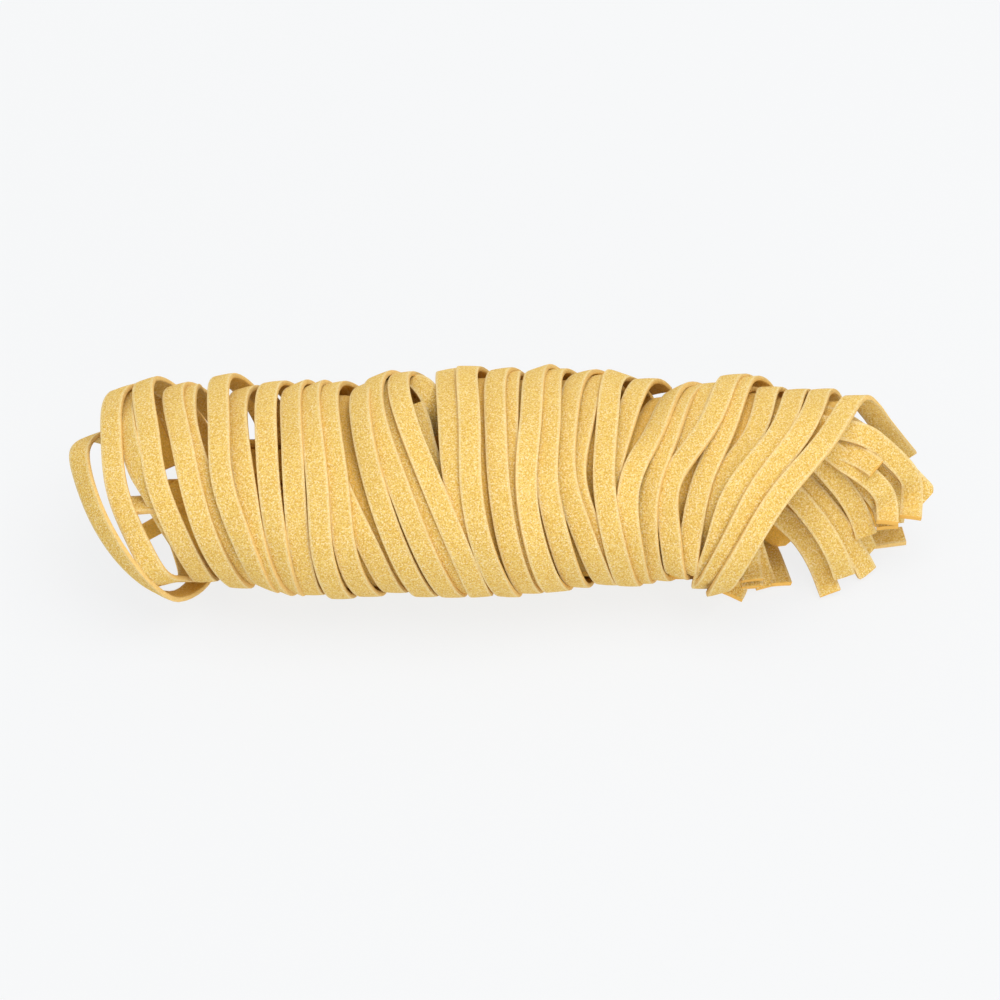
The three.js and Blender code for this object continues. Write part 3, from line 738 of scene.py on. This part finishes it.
# Noise in the dough: scale in a millimetre, detail and roughness, then from where to
# where it counts, and the share of the colour under it that it takes.
BROAD, BROAD_RANGE, BROAD_SHARE = (0.11, 1.0), (0.35, 0.68), 0.4
GRAIN, GRAIN_RANGE, GRAIN_SHARE = (1.9, 3.0, 0.7), (0.58, 0.38), 0.85
SPECKS, SPECKS_RANGE, SPECKS_SHARE = (2.2, 1.0, 0.4), (0.54, 0.66), 0.7
CHALK, CHALK_RANGE, CHALK_SHARE = (2.5, 1.0, 0.4), (0.50, 0.68), 0.8
CHALK_SHIFT = (31.0, 7.0, 13.0)  # so that it doesn't follow the other noise
CHALK_SHADE_FADE = 0.8  # less of it lies where the painted shade is
FINE, FINE_BUMP = (5.0, 2.0, 0.6), 0.4
BROAD_GAIN, CHALK_GAIN = 0.92, 1.06  # brightness of the two against their colours
# Across a strip, from its middle at 0 to its side at 0.5, and along it in millimetres.
# Painted highlight: a paler band along both edges of a strip's face.
HIGHLIGHT_RANGE, HIGHLIGHT_SHARE = (0.33, 0.43), 0.45
# The sides take the cut dough's colour, which there also stands for painted shade; the cut ends
# take it too.
SIDE_RANGE, SIDE_SHARE = (0.485, 0.499), 0.45
CUT_RANGE = (-0.2, -0.05)
# Painted shade: faces that look in to the axis are given a deeper colour. Towards both ends light
# reaches the inside of the loops, so no painted shade is put there.
PAINTED_SHADE_RANGE, PAINTED_SHADE_SHARE = (2.0, -6.0), 0.6
FIRST_LOOPS, LAST_LOOP = (-102.0, -76.0), (80.0, 92.0)
ROUGH, ROUGH_RANGE, GLOSS = 0.7, 0.2, 0.06
BUMP_DEPTH = 0.5 * MM


def pasta_material(name, look, inside=None):
    """Dry egg dough: matte, grainy with semolina, with a painted highlight towards the edges and
    painted shade as a deeper colour.

    inside tells how much painted shade, as a deeper colour, it carries; with None that follows
    which way the face looks."""
    s = Shop(name)
    place = s.node("ShaderNodeTexCoord", output="Object")
    mm = s.node("ShaderNodeVectorMath", {"operation": "SCALE"}, {0: place, "Scale": 1 / MM})
    shifted = s.node("ShaderNodeVectorMath", {"operation": "ADD"}, {0: mm, 1: CHALK_SHIFT})
    broad = s.noise(mm, *BROAD).ramp(*BROAD_RANGE)
    grain = s.noise(mm, *GRAIN)
    fine = s.noise(mm, *FINE)
    specks = s.noise(mm, *SPECKS).ramp(*SPECKS_RANGE)
    chalk = s.noise(shifted, *CHALK).ramp(*CHALK_RANGE)
    base = s.mix(broad * BROAD_SHARE, colour(look.flour), colour(look.flour, BROAD_GAIN))
    # With no share given, painted shade goes on faces that look in to the axis, away from both
    # ends.
    if inside is None:
        x, y, z = s.parts(mm, (0, 1, 2))
        ny, nz = s.parts(s.node("ShaderNodeTexCoord", output="Normal"), (1, 2))
        outwards = ny * (y + MIDDLE[1]) + nz * (z - HALF_HEIGHT)
        inside = (outwards.ramp(*PAINTED_SHADE_RANGE) * x.ramp(*FIRST_LOOPS)
                  * (1 - x.ramp(*LAST_LOOP)) * PAINTED_SHADE_SHARE)
    # Painted shade: the deeper colour, in the share that inside gives.
    base = s.mix(inside, base, colour(look.deep))
    base = s.mix(grain.ramp(*GRAIN_RANGE) * GRAIN_SHARE, base, colour(look.bran))
    base = s.mix(specks * SPECKS_SHARE, base, colour(look.bran))
    # Fewer pale specks where painted shade lies.
    base = s.mix(chalk * (1 - inside * CHALK_SHADE_FADE) * CHALK_SHARE, base,
                 colour(look.pale, CHALK_GAIN))
    along, across = s.parts(s.node("ShaderNodeUVMap", {"uv_map": "UVMap"}), (0, 1))
    out = abs(across - 0.5)
    # Painted highlight: a paler band along both edges of a face, less where painted shade lies.
    base = s.mix(out.ramp(*HIGHLIGHT_RANGE) * (1 - inside) * HIGHLIGHT_SHARE, base, colour(look.pale))
    # The sides take the cut colour, partly as painted shade.
    base = s.mix(out.ramp(*SIDE_RANGE) * SIDE_SHARE, base, colour(look.crust))
    base = s.mix(along.ramp(*CUT_RANGE), base, colour(look.crust))
    bump = s.node("ShaderNodeBump", {}, {"Strength": 1.0, "Distance": BUMP_DEPTH,
                                         "Height": grain + fine * FINE_BUMP})
    shader = s.node("ShaderNodeBsdfPrincipled", {}, {
        "Base Color": base, "Roughness": ROUGH + ROUGH_RANGE * fine, "Normal": bump,
        "Specular IOR Level": GLOSS})
    s.node("ShaderNodeOutputMaterial", {}, {"Surface": shader})
    return s.material


# How much painted shade, as a deeper colour, each piece's dough carries.
ON_ENDS, ON_UNDER_STRIPS, IN_SHADE = 0.0, 0.55, 1.0


def dough(name, look, inside=None):
    """The dough of that name, made once and shared by the pieces that ask for it."""
    return bpy.data.materials.get(name) or pasta_material(name, look, inside)


FLOOR_TONE, FLOOR_SHARE, FLOOR_GAIN, FLOOR_ROUGH = (3.0, 2.0), 0.3, 0.97, 0.9
FLOOR_LIGHT = (0.976, 0.988, 1, 1)


def glowing_floor(name, tint, glow):
    """A matte table, dark grey but giving off light of its own so that it looks pale; shadows on it
    stay light, and its light falls on the hank from below.
    """
    s = Shop(name)
    tone = s.noise(s.node("ShaderNodeTexCoord", output="Object"), *FLOOR_TONE)
    shader = s.node("ShaderNodeBsdfPrincipled", {}, {
        "Base Color": s.mix(tone * FLOOR_SHARE, colour(tint), colour(tint, FLOOR_GAIN)),
        "Roughness": FLOOR_ROUGH, "Emission Color": FLOOR_LIGHT, "Emission Strength": glow})
    s.node("ShaderNodeOutputMaterial", {}, {"Surface": shader})
    return s.material


# ---- operators -----------------------------------------------------------
class NEST_OT_wound_strips(Operator):
    """Wind the long ribbon in leaning oval loops, with the inner strips under it"""
    bl_idname = "pasta_nest.wound_strips"
    bl_label = "Wound strips"

    def execute(self, context):
        sizes, look = context.scene.ribbon_sizes, context.scene.pasta_look
        outer = dough("egg_dough", look)
        # The second layer's dough carries painted shade in part.
        inner = dough("under_dough", look, ON_UNDER_STRIPS)
        strands, under = wind(sizes.width / MM, sizes.thick / MM)
        points, _, up = strand_rails(strands[0])
        long_strip = lead_out(points, up, strands[0]["a"], *LEAD_OUT)
        finish_strips([add_band(*long_strip, sizes)], "wound_strips", sizes, outer)
        for name, strips, material in (("inner_strips", strands[1:], outer),
                                       ("under_strips", under, inner)):
            bands = [add_band(*strand_rails(s), sizes) for s in strips]
            finish_strips(bands, name, sizes, material)
        return {"FINISHED"}


class NEST_OT_cut_ends(Operator):
    """Fan out the cut ends at the right of the hank, and lay the loose strips"""
    bl_idname = "pasta_nest.cut_ends"
    bl_label = "Cut ends"

    def execute(self, context):
        sizes, look = context.scene.ribbon_sizes, context.scene.pasta_look
        for name, lines, material in (
                ("cut_ends", TAILS + LOOSE, dough("egg_dough_ends", look, ON_ENDS)),
                # The shaded strips' dough carries painted shade in full.
                ("shaded_strips", SHADED, dough("inner_dough", look, IN_SHADE))):
            finish_strips(free_bands(lines, sizes), name, sizes, material)
        return {"FINISHED"}


# The inner roll, in millimetres: strips that run lengthwise round an oval, in layers.
ROLL_LEFT, ROLL_RIGHT = -62.0, 46.0
ROLL_MIDDLE, ROLL_HIGH, ROLL_DEEP = 18.5, 13.5, 18.5
ROLL_LAYERS, ROLL_STRIPS, ROLL_POINTS = 2, 18, 60
ROLL_PROUD, ROLL_GAP = 1.5, 2.4  # the outer layer's height over the oval, and down to the next
ROLL_STRAY = (-0.08, 0.08)  # angle between strips that are not quite even
LEFT_SLANT, LEFT_STRAY = 0.25, (-3, 5)  # a higher strip starts further to the left
RIGHT_SLANT, RIGHT_STRAY = 0.5, (-4, 3)  # and ends further to the right
SWAY, DRIFT, SWELL, TWIST = 0.75, 0.25, 3.0, 1.6  # how far a strip strays round, out and over
SWAY_STEPS, TWIST_STEPS = 6, 8


def roll_strip(a, lift, rng):
    """Centre line and face of a strip of the inner roll that runs near angle a."""
    def slow(steps):
        return blur(rng.normal(0, 1, ROLL_POINTS), steps)

    t = np.linspace(0, 1, ROLL_POINTS)
    height = ROLL_MIDDLE + ROLL_HIGH * math.sin(a)
    start = ROLL_LEFT - LEFT_SLANT * height + rng.uniform(*LEFT_STRAY)
    end = ROLL_RIGHT + RIGHT_SLANT * height + rng.uniform(*RIGHT_STRAY)
    round_ = a + (slow(SWAY_STEPS) * SWAY + DRIFT * (t - 0.5))
    swell = slow(SWAY_STEPS) * SWELL
    points = np.stack([start * (1 - t) + end * t,
                       (ROLL_DEEP + lift + swell) * np.cos(round_),
                       ROLL_MIDDLE + (ROLL_HIGH + lift + swell) * np.sin(round_)], 1)
    face = round_ + slow(TWIST_STEPS) * TWIST
    return points, np.stack([0 * face, np.cos(face) / ROLL_DEEP, np.sin(face) / ROLL_HIGH], 1)


class NEST_OT_core(Operator):
    """Roll the strips that run lengthwise inside the hank"""
    bl_idname = "pasta_nest.core"
    bl_label = "Inner roll"

    def execute(self, context):
        sizes, look = context.scene.ribbon_sizes, context.scene.pasta_look
        rng = np.random.default_rng(SEEDS["roll"])
        bands = []
        for layer in range(ROLL_LAYERS):
            for n in range(ROLL_STRIPS):
                a = 2 * math.pi * (n + 0.5 * layer) / ROLL_STRIPS + rng.uniform(*ROLL_STRAY)
                points, up = roll_strip(a, ROLL_PROUD - ROLL_GAP * layer, rng)
                bands.append(add_band(points, *rails(points, up), sizes, 0.0))
        # Its dough carries painted shade in full.
        finish_strips(bands, "inner_roll", sizes, dough("inner_dough", look, IN_SHADE))
        return {"FINISHED"}


# The stage, in metres. A light's last value is the setting that gives its power.
FLOOR_SIZE = 6
LIGHTS = (("key_light", (0.22, -0.08, 1.06), 1.0, "key"),
          ("fill_light", (0.45, -1.2, 0.24), 0.5, "fill"))
LIGHTS_AIM = (0, 0, 0.02)
PIXEL, FRAME_PIXELS = 0.267 * MM, 1000  # a pixel at the hank, and the frame's width
LEFT_PIXELS, DOWN_PIXELS = 3, 13  # from the oval's axis to the middle of the frame
DISTANCE, SENSOR = 1.5, 36
CLIP = (0.05, 20)


class NEST_OT_stage(Operator):
    """Set the pale floor, the soft light and the camera"""
    bl_idname = "pasta_nest.stage"
    bl_label = "Stage"

    def execute(self, context):
        setup, scene = context.scene.nest_stage, context.scene
        deselect()
        bpy.ops.mesh.primitive_plane_add(size=FLOOR_SIZE)
        floor = context.object
        floor.name = "floor"
        floor.data.materials.append(glowing_floor("pale_floor", setup.floor, setup.glow))
        for name, place, size, power in LIGHTS:
            bpy.ops.object.light_add(type="AREA", location=place)
            lamp = context.object
            lamp.name = name
            lamp.data.shape, lamp.data.size = "SQUARE", size
            lamp.data.energy = getattr(setup, power)
            aim = Vector(LIGHTS_AIM) - Vector(place)
            lamp.rotation_euler = aim.to_track_quat("-Z", "Y").to_euler()
        world = scene.world or bpy.data.worlds.new("surroundings")
        scene.world = world
        world.use_nodes = True
        surroundings = world.node_tree.nodes["Background"].inputs
        surroundings["Color"].default_value = (1, 1, 1, 1)
        surroundings["Strength"].default_value = setup.sky
        scene.view_settings.view_transform = "Standard"
        right, up = Vector((1, 0, 0)), Vector((0, math.sin(SLOPE), math.cos(SLOPE)))
        aim = (Vector((-MIDDLE[0] * MM, -MIDDLE[1] * MM, HALF_HEIGHT * MM))
               - right * (LEFT_PIXELS * PIXEL) - up * (DOWN_PIXELS * PIXEL))
        back = Vector((0, -math.cos(SLOPE), math.sin(SLOPE)))
        bpy.ops.object.camera_add(location=aim + back * DISTANCE)
        camera = context.object
        camera.name = "camera"
        camera.rotation_euler = (-back).to_track_quat("-Z", "Y").to_euler()
        camera.data.sensor_width = SENSOR
        camera.data.lens = SENSOR * DISTANCE / (FRAME_PIXELS * PIXEL)
        camera.data.clip_start, camera.data.clip_end = CLIP
        scene.camera = camera
        return {"FINISHED"}


class NEST_PT_panel(Panel):
    """Lists the pieces of the nest"""
    bl_idname = "NEST_PT_panel"
    bl_label = "Pasta nest"
    bl_space_type = "VIEW_3D"
    bl_region_type = "UI"
    bl_category = "Pasta nest"

    def draw(self, context):
        for name, _ in GROUPS:
            group, box = getattr(context.scene, name), self.layout.box()
            for key in group.__annotations__:
                box.prop(group, key)
        for piece in PIECES:
            self.layout.operator(piece.bl_idname)


PIECES = (NEST_OT_core, NEST_OT_wound_strips, NEST_OT_cut_ends, NEST_OT_stage)
GROUPS = (("ribbon_sizes", RibbonSizes), ("pasta_look", PastaLook), ("nest_stage", StageSetup))
CLASSES = (*(group for _, group in GROUPS), *PIECES, NEST_PT_panel)


def register():
    for cls in CLASSES:
        bpy.utils.register_class(cls)
    for name, group in GROUPS:
        setattr(bpy.types.Scene, name, PointerProperty(type=group))


def unregister():
    for name, _ in GROUPS:
        delattr(bpy.types.Scene, name)
    for cls in reversed(CLASSES):
        bpy.utils.unregister_class(cls)


def main():
    register()
    bpy.ops.pasta_nest.core()
    bpy.ops.pasta_nest.wound_strips()
    bpy.ops.pasta_nest.cut_ends()
    bpy.ops.pasta_nest.stage()


if __name__ == "__main__":
    main()
